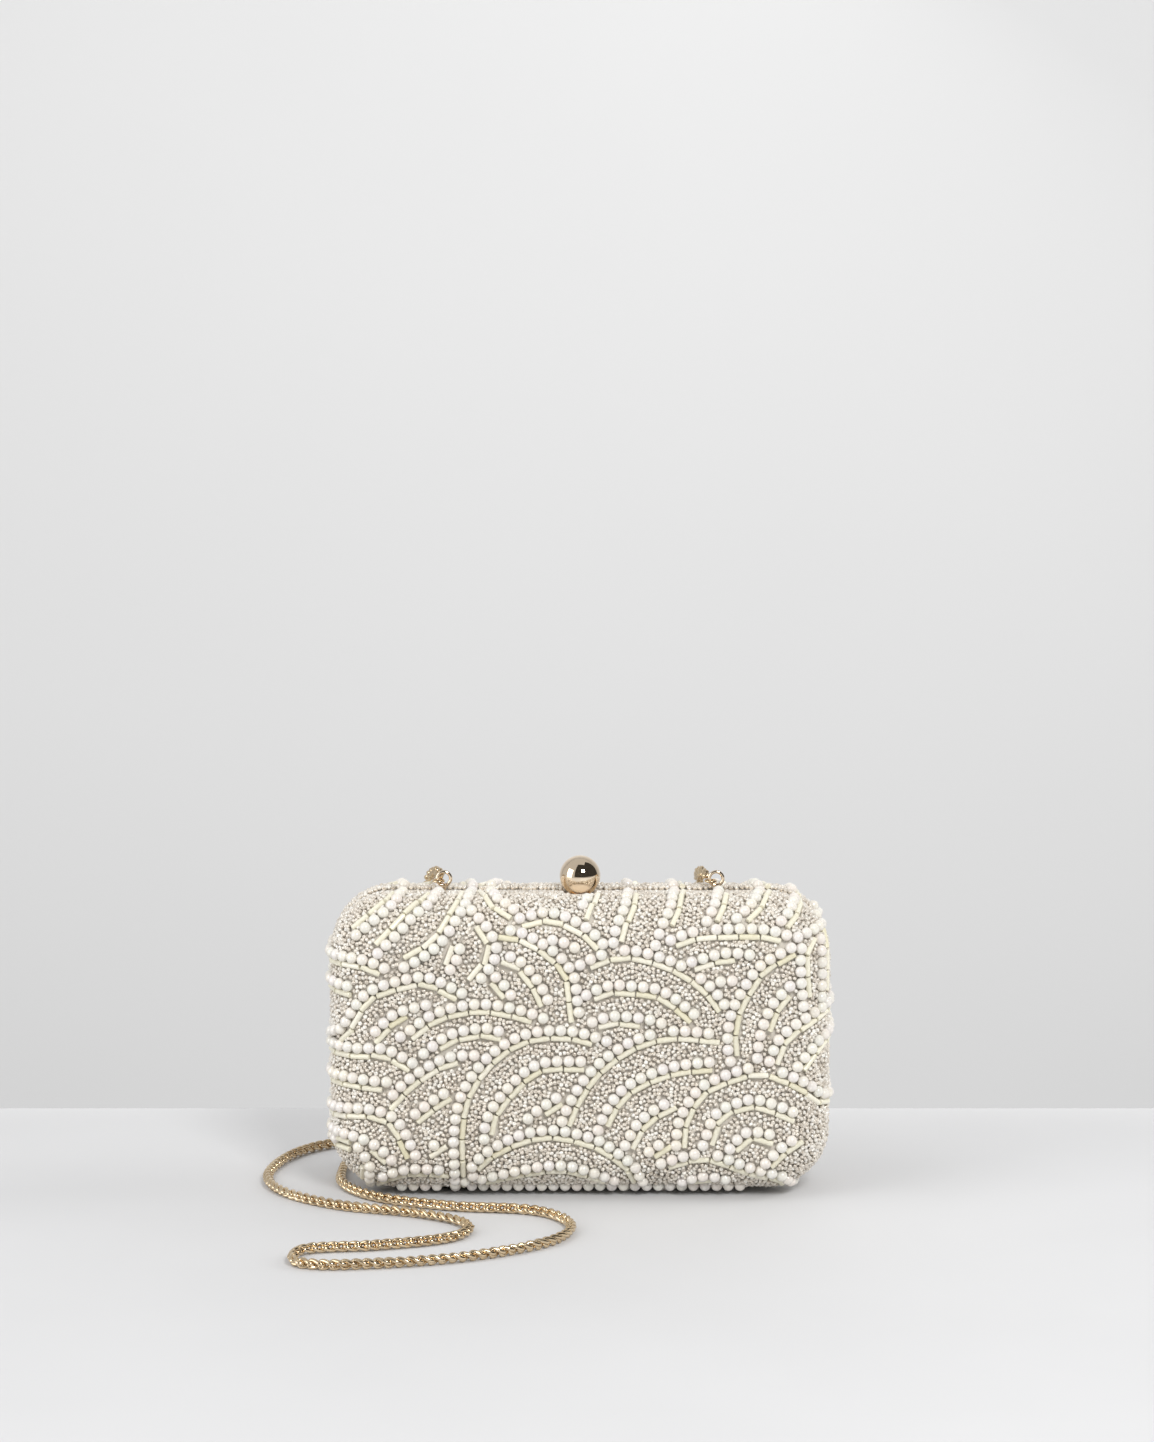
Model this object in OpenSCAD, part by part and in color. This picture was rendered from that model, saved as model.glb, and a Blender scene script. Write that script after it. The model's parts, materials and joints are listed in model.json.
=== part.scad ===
// Beaded evening bag: a hard case in two halves, hinged along the bottom of a metal frame and held
// shut by a ball clasp on top, with a curb chain strap. Units are millimetres. The bag stands on
// z = 0, its front faces -Y, and the plane y = 0 parts the two halves.

/* [Case] */
// Width of the case over the beads
body_w = 168; // [150:1:180]
// Height of the case over the beads
body_h = 102; // [96:1:115]
// Depth of the case over the beads
body_d = 52; // [50:1:60]
// Radius of the four corners, seen from the front
corner_r = 22; // [20:1:26]
// Radius of the rounded edge between the face and the sides
edge_r = 18; // [16:1:19]

/* [Layers] */
// Thickness of the beads that stand on the cloth
bead_layer = 3.2; // [3:0.1:4]
// Thickness of the cloth that the beads are sewn to
cloth_t = 0.8; // [0.6:0.1:1]
// Thickness of the moulded shell
shell_t = 2; // [1.5:0.1:2.5]
// Thickness of the padded satin lining
lining_t = 1; // [0.8:0.1:1.5]

/* [Frame] */
// Depth of each metal rim, front to back
rim_d = 2.6; // [2.4:0.1:3]
// Width of the rim's face between its outer and inner edges
rim_band = 4; // [4:0.1:5]
// Depth of the inner flange that the lining is glued to
flange_d = 7; // [6.5:0.5:8]
// Gap between the closed rims
rim_gap = 0.3; // [0.2:0.05:0.4]

/* [Hinges] */
// Distance from the middle of the bag to the middle of each hinge
hinge_x = 48; // [30:1:55]
// Length of one hinge knuckle
knuckle_len = 5; // [4:0.5:6]
// Outer radius of the knuckles
knuckle_r = 1.3; // [1.2:0.05:1.4]
// Radius of the hinge pins
hinge_pin_r = 0.6; // [0.5:0.05:0.7]

/* [Clasp] */
// Diameter of the ball
ball_d = 13.5; // [12:0.5:14]
// How deep the ball sits in the gap between the rims
ball_sink = 0.6; // [0.4:0.1:0.8]
// How far the ball turns back to lift the hook, in degrees
clasp_travel = 12; // [8:1:12]
// Radius of the clasp's pivot pin
pivot_r = 0.8; // [0.6:0.1:0.9]

/* [Chain] */
// Distance from the middle of the bag to each chain eye
eye_x = 45; // [35:1:50]
// Outer diameter of each chain eye
eye_d = 5.6; // [5.4:0.1:6]
// Thickness of the eye's wire
eye_wire = 1.1; // [0.8:0.1:1.1]
// Width of the curb chain
chain_d = 3.2; // [3:0.1:3.4]

/* [Hidden] */
$fn = 48;
cut = 1;              // how far a cutting shape runs past the face that it cuts
clearance = 0.05;     // radial running clearance of a pin
mid_z = body_h / 2;
half_w = body_w / 2;
half_d = body_d / 2;
cloth_in = bead_layer;               // depth of each layer's outer face below the bead tops
shell_in = cloth_in + cloth_t;
lining_in = shell_in + shell_t;
cavity_in = lining_in + lining_t;
rim_out_in = shell_in;
rim_inner_in = rim_out_in + rim_band;
flange_in = cavity_in;
rim_face = rim_gap / 2;              // y of the rim's parting face
rim_top = body_h - rim_out_in;
rim_under = body_h - rim_inner_in;
layer_y = rim_d + 0.2;               // y where the beads begin
rim_mid_y = (rim_face + rim_d) / 2;

knuckles = 5;
hinge_z = rim_out_in - 1.8;          // the hinge axis lies just below the rims
knuckle_gap = 0.15;

ball_y = rim_mid_y;
ball_z = rim_top - ball_sink + ball_d / 2;
pivot_y = 5;
pivot_z = rim_under - 4;
lever_half = 1.5;                    // half the lever's thickness
hub_r = 2;
stem_front = rim_mid_y - 0.8;
stem_back = rim_mid_y + 0.8;
spigot_r = 0.7;
slot_half = 2.2;
slot_y = 5.2;
hook_y = -4.2;
arm_top = rim_under - 3.4;
arm_under = arm_top - 1.3;
nose_under = arm_under - 1.3;
plate_t = 1;
plate_half = 8;
plate_d = flange_d - 0.2;
ear_in = 4;                          // x of the inner face of a bracket's ear
ear_t = 1;
rivet_x = 6.5;
rivet_y = 3.6;
rivet_r = 0.7;
rivet_head_r = 1.2;
catch_bar_r = 0.7;
catch_bar_y = -2.4;
catch_bar_z = nose_under - 0.3 - catch_bar_r;
spring_wire = 0.5;
spring_r = 1.4;
spring_turns = 3;
spring_x = lever_half + 0.2;         // x where the spring's coils begin
ball_room = 0.4;                     // gap between the ball and what is around it

eye_z = rim_top + 2.4 + eye_d / 2;
eye_r = (eye_d - eye_wire) / 2;
eye_base_r = 1.2;
eye_shank_r = 0.7;
ring_wire = 0.7;
ring_r = 1.8;
ring_z = body_h + ring_wire / 2 + 0.05;

pocket_half = 35;
pocket_z = 24;
pocket_h = 38;
pocket_wall = 0.6;
pocket_room = 0.8;

// The chain's route from the left eye, down the back, under the rounded corner to the front, round
// its two loops, behind the bag in a loose bend, and up the back to the right eye
lie = 1.8;            // height of the chain's middle where it lies on the surface
route = [
  [-46, 3, 104], [-48, 12, 103.8], [-51, 23, 98.4], [-53, 28.2, 84], [-53, 28.2, 14],
  [-55, 32, 5], [-66, 37, lie], [-77, 28, lie], [-80, 10, lie], [-78, -8, lie],
  [-66, -24, lie], [-42, -35, lie], [-14, -41, lie], [-3, -58, lie], [-10, -78, lie],
  [-38, -96, lie], [-72, -104, lie], [-86, -102, lie], [-89, -94, lie], [-85, -86, lie],
  [-64, -82, lie], [-40, -72, lie], [-36, -58, lie], [-50, -45, lie], [-80, -33, lie],
  [-100, -13, lie], [-104, 12, lie], [-92, 42, lie], [-68, 54, lie], [-30, 60, lie],
  [64, 60, lie], [74, 57, lie], [77, 50, lie], [73, 43, lie], [50, 38, 2.5],
  [40, 29, 14], [40, 28.2, 84], [40, 23, 98.4], [40, 12, 103.8], [42, 3, 104]
];
rings_per_span = 2;
tube_sides = 8;

// ---- Shapes shared by several sub-parts ----

// Section through the edge of a half: radius to the right, depth upwards
module edge_section(inset, start) {
  rc = corner_r - inset;
  re = edge_r - inset;
  depth = half_d - inset;
  translate([0, start])
    square([rc - re, depth - start]);
  translate([0, start])
    square([rc, depth - re - start]);
  intersection() {
    translate([rc - re, depth - re])
      circle(re);
    translate([rc - re, depth - re])
      square(re);
  }
}

// Solid pillow shape of one half, inset below the bead tops, from y = start to its face
module pillow(inset, start) {
  cx = half_w - corner_r;
  cz = mid_z - corner_r;
  depth = half_d - inset;
  translate([0, 0, mid_z]) {
    translate([-cx, start, -cz])
      cube([2 * cx, depth - start, 2 * cz]);
    for (side = [0, 1]) {
      mirror([0, 0, side])
        translate([cx, 0, cz])
          rotate([0, -90, 0])
            linear_extrude(2 * cx)
              edge_section(inset, start);
      mirror([side, 0, 0])
        translate([cx, 0, -cz])
          linear_extrude(2 * cz)
            edge_section(inset, start);
    }
    for (turn = [0 : 3])
      translate([(turn == 0 || turn == 3 ? cx : -cx), 0, (turn < 2 ? -cz : cz)])
        rotate([-90, 0, 0])
          rotate([0, 0, 90 * turn])
            rotate_extrude(angle = 90)
              edge_section(inset, start);
  }
}

// One layer of a half, between two insets
module layer(outer, inner, start) {
  difference() {
    pillow(outer, start);
    pillow(inner, start - cut);
  }
}

// Flat rounded plate parallel to the frame, from y = start to y = finish
module plate(inset, start, finish) {
  rc = corner_r - inset;
  cx = half_w - corner_r;
  cz = mid_z - corner_r;
  translate([0, 0, mid_z]) {
    translate([-cx - rc, start, -cz])
      cube([2 * (cx + rc), finish - start, 2 * cz]);
    translate([-cx, start, -cz - rc])
      cube([2 * cx, finish - start, 2 * (cz + rc)]);
    for (sx = [-1, 1], sz = [-1, 1])
      translate([sx * cx, start, sz * cz])
        rotate([-90, 0, 0])
          cylinder(r = rc, h = finish - start);
  }
}

module x_cylinder(radius, from, to, y, z) {
  translate([from, y, z])
    rotate([0, 90, 0])
      cylinder(r = radius, h = to - from);
}

module z_cylinder(radius, from, to, x, y) {
  translate([x, y, from])
    cylinder(r = radius, h = to - from);
}

module cylinder_between(radius, low, high) {
  z_cylinder(radius, low, high, 0, 0);
}

module block(low, high) {
  translate(low)
    cube(high - low);
}

// Gap in the back half's layers that the clasp's stem moves in
module stem_slot() {
  block([-slot_half, -cut, rim_under - cut], [slot_half, slot_y, body_h + cut]);
}

// Hollow around the ball, at both ends of its travel
module ball_hollow() {
  room = ball_d / 2 + ball_room;
  translate([0, ball_y, ball_z])
    sphere(room);
  translate([0, pivot_y, pivot_z])
    rotate([-clasp_travel, 0, 0])
      translate([0, ball_y - pivot_y, ball_z - pivot_z])
        sphere(room);
}

// Room for the clasp in the back half
module clasp_room() {
  ball_hollow();
  stem_slot();
}

// ---- Case halves ----

module front_beadwork() {
  color("ivory")
    difference() {
      mirror([0, 1, 0])
        layer(0, cloth_in, layer_y);
      ball_hollow();
    }
}

module back_beadwork() {
  color("ivory")
    difference() {
      layer(0, cloth_in, layer_y);
      clasp_room();
    }
}

module front_ground_cloth() {
  color("tan")
    difference() {
      mirror([0, 1, 0])
        layer(cloth_in, shell_in, rim_d);
      ball_hollow();
    }
}

module back_ground_cloth() {
  color("tan")
    difference() {
      layer(cloth_in, shell_in, rim_d);
      clasp_room();
    }
}

module front_shell() {
  color("gainsboro")
    mirror([0, 1, 0])
      layer(shell_in, lining_in, rim_d);
}

module back_shell() {
  color("gainsboro")
    difference() {
      layer(shell_in, lining_in, rim_d);
      clasp_room();
    }
}

module front_lining() {
  color("wheat")
    mirror([0, 1, 0])
      layer(lining_in, cavity_in, rim_d);
}

module back_lining() {
  color("wheat")
    difference() {
      layer(lining_in, cavity_in, rim_d);
      stem_slot();
    }
}

module slip_pocket() {
  face = half_d - cavity_in;
  deep = pocket_wall + pocket_room;
  color("wheat")
    difference() {
      block([-pocket_half, face - deep, pocket_z], [pocket_half, face, pocket_z + pocket_h]);
      block([-pocket_half + pocket_wall, face - pocket_room, pocket_z + pocket_wall],
            [pocket_half - pocket_wall, face + cut, pocket_z + pocket_h + cut]);
    }
}

// ---- Frame and hinges ----

// x of the start of a knuckle of the hinge whose middle is at x = centre
function knuckle_start(centre, index) = centre + (index - knuckles / 2) * knuckle_len;

// Knuckles of one rim: the back rim has the even ones and the front rim the odd ones
module rim_knuckles(first) {
  for (centre = [-hinge_x, hinge_x], index = [first : 2 : knuckles - 1]) {
    start = knuckle_start(centre, index) + knuckle_gap / 2;
    finish = start + knuckle_len - knuckle_gap;
    x_cylinder(knuckle_r, start, finish, 0, hinge_z);
    block([start, rim_face, hinge_z], [finish, knuckle_r, rim_out_in + 1]);
  }
}

// Room in one rim for the other rim's knuckles
module knuckle_room(first) {
  for (centre = [-hinge_x, hinge_x], index = [first : 2 : knuckles - 1]) {
    start = knuckle_start(centre, index) - knuckle_gap / 2;
    x_cylinder(knuckle_r + 0.3, start, start + knuckle_len + knuckle_gap, 0, hinge_z);
  }
}

module hinge_bores() {
  reach = knuckles * knuckle_len / 2 + cut;
  for (centre = [-hinge_x, hinge_x])
    x_cylinder(hinge_pin_r + clearance, centre - reach, centre + reach, 0, hinge_z);
}

// One rim as the back half has it: a face with an inner flange
module rim_blank() {
  difference() {
    union() {
      plate(rim_out_in, rim_face, rim_d);
      plate(flange_in, rim_face, flange_d);
    }
    plate(rim_inner_in, rim_face - cut, flange_d + cut);
  }
}

module rivet_holes() {
  for (side = [-1, 1])
    z_cylinder(rivet_r, rim_under - plate_t - cut, rim_under + 1 + cut, side * rivet_x, rivet_y);
}

module front_rim() {
  color("goldenrod")
    difference() {
      union() {
        mirror([0, 1, 0])
          rim_blank();
        mirror([0, 1, 0])
          rim_knuckles(1);
      }
      knuckle_room(0);
      hinge_bores();
      ball_hollow();
      mirror([0, 1, 0])
        rivet_holes();
    }
}

module back_rim() {
  color("goldenrod")
    difference() {
      union() {
        rim_blank();
        rim_knuckles(0);
      }
      knuckle_room(1);
      hinge_bores();
      rivet_holes();
      clasp_room();
      for (side = [-1, 1])
        z_cylinder(eye_shank_r, rim_under - cut, rim_top + cut, side * eye_x, rim_mid_y);
    }
}

module hinge_pin(centre) {
  reach = knuckles * knuckle_len / 2;
  color("darkgoldenrod") {
    x_cylinder(hinge_pin_r, centre - reach - 0.2, centre + reach + 0.2, 0, hinge_z);
    for (side = [-1, 1])
      x_cylinder(knuckle_r - 0.2, centre + side * (reach + 0.35) - 0.2, centre + side * (reach + 0.35) + 0.2,
                 0, hinge_z);
  }
}

// ---- Clasp ----

module clasp_ball() {
  color("gold")
    difference() {
      translate([0, ball_y, ball_z])
        sphere(ball_d / 2);
      z_cylinder(spigot_r, ball_z - ball_d, ball_z, 0, ball_y);
    }
}

module clasp_lever() {
  color("goldenrod")
    difference() {
      union() {
        block([-lever_half, stem_front, arm_under], [lever_half, stem_back, rim_top - ball_sink]);
        z_cylinder(spigot_r, rim_top - cut, ball_z, 0, ball_y);
        block([-lever_half, hook_y, arm_under], [lever_half, pivot_y, arm_top]);
        block([-lever_half, hook_y, nose_under], [lever_half, hook_y + 1, arm_under]);
        x_cylinder(hub_r, -lever_half, lever_half, pivot_y, pivot_z);
      }
      x_cylinder(pivot_r + clearance, -lever_half - cut, lever_half + cut, pivot_y, pivot_z);
    }
}

// Plate under a rim's flange with two ears that hang down at either side of the lever
module eared_plate(ear_low, ear_front, ear_back) {
  difference() {
    block([-plate_half, rim_face + 0.4, rim_under - plate_t], [plate_half, plate_d, rim_under]);
    block([-slot_half, -cut, rim_under - 2 * plate_t], [slot_half, slot_y, rim_under + cut]);
    rivet_holes();
  }
  for (side = [0, 1])
    mirror([side, 0, 0])
      block([ear_in, ear_front, ear_low], [ear_in + ear_t, ear_back, rim_under - plate_t]);
}

module clasp_bracket() {
  color("darkgoldenrod")
    difference() {
      eared_plate(pivot_z - 1.6, pivot_y - 1.6, pivot_y + 1.6);
      x_cylinder(pivot_r, -plate_half, plate_half, pivot_y, pivot_z);
    }
}

module clasp_pivot_pin() {
  reach = ear_in + ear_t;
  color("silver") {
    x_cylinder(pivot_r, -reach - 0.4, reach + 0.4, pivot_y, pivot_z);
    for (side = [0, 1])
      mirror([side, 0, 0])
        x_cylinder(pivot_r + 0.5, reach, reach + 0.4, pivot_y, pivot_z);
  }
}

// Torsion spring: a wire wound round the pivot pin
module clasp_spring() {
  steps = 14;
  sides = 6;
  count = spring_turns * steps;
  pitch = spring_wire * 1.1;
  points = [
    for (i = [0 : count], k = [0 : sides - 1])
      let (turn = 360 * i / steps, a = 360 * k / sides,
           r = spring_r + spring_wire / 2 * cos(a))
        [spring_x + spring_wire / 2 + pitch * i / steps + spring_wire / 2 * sin(a),
         pivot_y + r * cos(turn), pivot_z + r * sin(turn)]
  ];
  color("silver")
    polyhedron(points, tube_faces(count + 1, sides), convexity = 6);
}

module clasp_catch() {
  color("darkgoldenrod") {
    mirror([0, 1, 0])
      eared_plate(catch_bar_z - 1, -catch_bar_y - 1, -catch_bar_y + 1);
    x_cylinder(catch_bar_r, -ear_in - ear_t / 2, ear_in + ear_t / 2, catch_bar_y, catch_bar_z);
  }
}

module rivets() {
  for (side = [-1, 1]) {
    z_cylinder(rivet_r, rim_under - plate_t - 0.2, rim_under + 1, side * rivet_x, rivet_y);
    z_cylinder(rivet_head_r, rim_under - plate_t - 0.7, rim_under - plate_t, side * rivet_x, rivet_y);
  }
}

module bracket_rivets() {
  color("silver")
    rivets();
}

module catch_rivets() {
  color("silver")
    mirror([0, 1, 0])
      rivets();
}

// ---- Chain eyes and rings ----

module chain_eye(side) {
  color("gold")
    translate([side * eye_x, rim_mid_y, 0]) {
      translate([0, 0, eye_z])
        rotate([90, 0, 0])
          rotate_extrude()
            translate([eye_r, 0])
              circle(eye_wire / 2);
      cylinder_between(eye_shank_r, rim_under - 1.6, eye_z - eye_r);
      cylinder_between(eye_base_r, rim_top, rim_top + 0.8);
    }
}

// Something that repeats at both eyes
module at_eyes() {
  for (side = [-1, 1])
    translate([side * eye_x, rim_mid_y, 0])
      children();
}

module eye_washers() {
  color("silver")
    at_eyes()
      difference() {
        cylinder_between(eye_base_r, rim_under - 0.4, rim_under);
        cylinder_between(eye_shank_r, rim_under - cut, rim_under + cut);
      }
}

module eye_nuts() {
  color("silver")
    at_eyes()
      difference() {
        translate([0, 0, rim_under - 1.4])
          cylinder(r = eye_base_r, h = 1, $fn = 6);
        cylinder_between(eye_shank_r, rim_under - 2 * cut, rim_under);
      }
}

module jump_ring(x) {
  color("gold")
    translate([x, rim_mid_y, ring_z])
      rotate_extrude()
        translate([ring_r, 0])
          circle(ring_wire / 2);
}

// ---- Chain ----

function unit(v) = v / norm(v);

function direction(points, i) =
  unit(points[min(i + 1, len(points) - 1)] - points[max(i - 1, 0)]);

// Point at t between points i and i + 1, on a curve that leaves each point along its direction
function curve_point(points, i, t) =
  let (span = norm(points[i + 1] - points[i]))
    (2 * t ^ 3 - 3 * t ^ 2 + 1) * points[i]
    + (t ^ 3 - 2 * t ^ 2 + t) * span * direction(points, i)
    + (3 * t ^ 2 - 2 * t ^ 3) * points[i + 1]
    + (t ^ 3 - t ^ 2) * span * direction(points, i + 1);

// The curve through the route's points, kept from dipping into the surface that the chain lies on
function smooth_route(points, steps) = [
  for (i = [0 : len(points) - 2], s = [0 : steps - 1])
    let (p = curve_point(points, i, s / steps))
      [p.x, p.y, max(p.z, lie)],
  points[len(points) - 1]
];

// Side vectors carried along the curve without twist
function carried_sides(points, i = 0, side = [1, 0, 0], found = []) =
  i == len(points) ? found :
  let (d = direction(points, i), s = unit(side - (side * d) * d))
    carried_sides(points, i + 1, s, concat(found, [s]));

function tube_points(points, radius, sides) =
  let (carried = carried_sides(points))
  [for (i = [0 : len(points) - 1], k = [0 : sides - 1])
    let (d = direction(points, i), u = carried[i], v = cross(d, u), a = 360 * k / sides)
      points[i] + radius * (cos(a) * u + sin(a) * v)];

// Faces of a closed tube of the given number of rings
function tube_faces(rings, sides) = concat(
  [[for (k = [0 : sides - 1]) k]],
  [for (i = [0 : rings - 2], k = [0 : sides - 1])
    let (a = i * sides + k, b = i * sides + (k + 1) % sides)
      [a, a + sides, b + sides, b]],
  [[for (k = [sides - 1 : -1 : 0]) (rings - 1) * sides + k]]
);

module chain_strap() {
  line = smooth_route(route, rings_per_span);
  color("gold")
    polyhedron(tube_points(line, chain_d / 2, tube_sides), tube_faces(len(line), tube_sides), convexity = 10);
}

front_beadwork();
back_beadwork();
front_ground_cloth();
back_ground_cloth();
front_shell();
back_shell();
front_lining();
back_lining();
slip_pocket();
front_rim();
back_rim();
hinge_pin(-hinge_x);  // hinge_pin_left
hinge_pin(hinge_x);  // hinge_pin_right
clasp_ball();
clasp_lever();
clasp_bracket();
clasp_pivot_pin();
clasp_spring();
clasp_catch();
bracket_rivets();
catch_rivets();
chain_eye(-1);  // chain_eye_left
chain_eye(1);  // chain_eye_right
eye_washers();
eye_nuts();
jump_ring(-eye_x - ring_r);  // jump_ring_left
jump_ring(eye_x - ring_r);  // jump_ring_right
chain_strap();
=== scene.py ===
"""Looks of the beaded evening bag.

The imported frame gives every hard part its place. This script adds what the frame leaves plain: the
rows of pearls, bugles and seed beads on both halves, the links of the chain, the cloth under the
beads, the padded satin inside, the materials, and a pale table under soft light. Lengths are in
millimetres until a mesh is made.
"""

import json
import math

import bpy
import numpy as np
from mathutils.kdtree import KDTree
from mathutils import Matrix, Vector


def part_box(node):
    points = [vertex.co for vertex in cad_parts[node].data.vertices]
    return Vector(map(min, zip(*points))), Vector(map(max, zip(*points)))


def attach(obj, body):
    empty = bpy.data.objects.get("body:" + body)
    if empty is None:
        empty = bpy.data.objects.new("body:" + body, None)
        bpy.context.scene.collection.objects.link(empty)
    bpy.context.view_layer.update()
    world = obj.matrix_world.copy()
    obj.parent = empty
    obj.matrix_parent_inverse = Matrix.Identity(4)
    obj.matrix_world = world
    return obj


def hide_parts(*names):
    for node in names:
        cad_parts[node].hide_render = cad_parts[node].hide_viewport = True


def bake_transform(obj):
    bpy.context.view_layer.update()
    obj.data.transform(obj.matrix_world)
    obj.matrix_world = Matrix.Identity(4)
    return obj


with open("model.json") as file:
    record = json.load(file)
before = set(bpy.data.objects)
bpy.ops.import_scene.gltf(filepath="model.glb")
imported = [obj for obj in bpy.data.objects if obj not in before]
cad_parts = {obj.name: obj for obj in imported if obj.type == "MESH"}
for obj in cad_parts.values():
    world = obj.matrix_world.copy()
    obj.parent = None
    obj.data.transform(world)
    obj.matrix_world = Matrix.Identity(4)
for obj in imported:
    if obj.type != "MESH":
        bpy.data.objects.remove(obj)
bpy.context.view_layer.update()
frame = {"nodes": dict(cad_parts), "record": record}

MM = 0.001
SEED = 11

# ---- Sizes of the case, from the frame ----

beads_low, beads_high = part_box("front_beadwork")
ball_low, ball_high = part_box("clasp_ball")
pocket_low, pocket_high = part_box("slip_pocket")
HALF_W = beads_high.x / MM
HEIGHT = beads_high.z / MM
HALF_D = -beads_low.y / MM
MID_Z = HEIGHT / 2
CORNER_R = 22
EDGE_R = 18
FLAT = CORNER_R - EDGE_R
INNER_X = HALF_W - CORNER_R
INNER_Z = MID_Z - CORNER_R
CLOTH_IN = 3.2            # depth of the cloth below the bead tops
CLOTH_T = 0.8
LINING_IN = 6.1
LINING_T = 0.8
LAYER_START = 2.7         # distance of the layers' edges from the parting plane
RIM_CLEAR = 2.8           # distance of the nearest bead from the parting plane
SLOT_HALF = 2.4           # half the width of the slot that the clasp's stem moves in
SLOT_DEEP = 5.4

# ---- The photograph's view ----

VIEW_FAR = 1300
VIEW_PITCH = math.radians(8)
VIEW_LOW = 104.25         # how far the bag's middle is under the middle of the picture

# ---- How the drawn face rolls over onto the sides ----

ROLL_ANGLE = math.radians(60)     # up to this slope the drawing is the plain front view
ROLL_FROM = FLAT + EDGE_R * math.sin(ROLL_ANGLE)
ROLL_RATE = 9                     # past it, the millimetres of drawing for each radian of the edge
WALL_FROM = ROLL_FROM + ROLL_RATE * (math.pi / 2 - ROLL_ANGLE)
WALL_RATE = 2                     # on the flat side, the millimetres of side for each of drawing

# ---- Sizes of the beads ----

PEARL_R = 1.9
PEARL_PITCH = 3.85
PEARL_GAP = 3.3           # least distance between pearls of rows that meet
BUGLE_R = 0.95
BUGLE_LEN = 6.6
BUGLE_PITCH = 7.0
BUGLE_FROM_PEARL = 0.3    # least gaps between kinds of beads
SEED_FROM_OTHERS = 0.6
BUGLE_GAP = 1.7           # least distance between the middle lines of two bugles
ROW_GAP = 2.8             # between the middle of a pearl row and its bugle row
SEED_R = 0.75
SEED_GAP = 1.1            # least distance between the middles of two seed beads
SEED_TRIES = 260000
SEEDS_PER_PIECE = 1800
PEARLS_PER_PIECE = 400
BALL = np.array([0, (ball_low.y + ball_high.y) / 2, (ball_low.z + ball_high.z) / 2]) / MM
BALL_R = (ball_high.x - ball_low.x) / 2 / MM
BALL_PUSHED = BALL + [0, 3, 0.5]
BALL_ROOM = 0.4
CLOTH_ROOM = 0.85         # the cloth's edge is cut further back from the ball

# ---- The chain ----

CHAIN_LIE = 1.8
LINK_PITCH = 3.4
LINK_WIRE = 1.4
LINK_W = 3.4
LINK_TWIST = 0.8
LINK_LEAN = 50            # how far the chain leans over from lying flat, in degrees
CHAIN_ROUTE = [
    (-46, 3, 104), (-48, 12, 103.8), (-51, 23, 98.4), (-53, 28.2, 84), (-53, 28.2, 14),
    (-55, 32, 5), (-66, 37, 1.8), (-77, 28, 1.8), (-80, 10, 1.8), (-78, -8, 1.8),
    (-66, -24, 1.8), (-42, -35, 1.8), (-14, -41, 1.8), (-3, -58, 1.8), (-10, -78, 1.8),
    (-38, -96, 1.8), (-72, -104, 1.8), (-86, -102, 1.8), (-89, -94, 1.8), (-85, -86, 1.8),
    (-64, -82, 1.8), (-40, -72, 1.8), (-36, -58, 1.8), (-50, -45, 1.8), (-80, -33, 1.8),
    (-100, -13, 1.8), (-104, 12, 1.8), (-92, 42, 1.8), (-68, 54, 1.8), (-30, 60, 1.8),
    (64, 60, 1.8), (74, 57, 1.8), (77, 50, 1.8), (73, 43, 1.8), (50, 38, 2.5),
    (40, 29, 14), (40, 28.2, 84), (40, 23, 98.4), (40, 12, 103.8), (42, 3, 104),
]

# ---- The bead pattern ----

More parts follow.
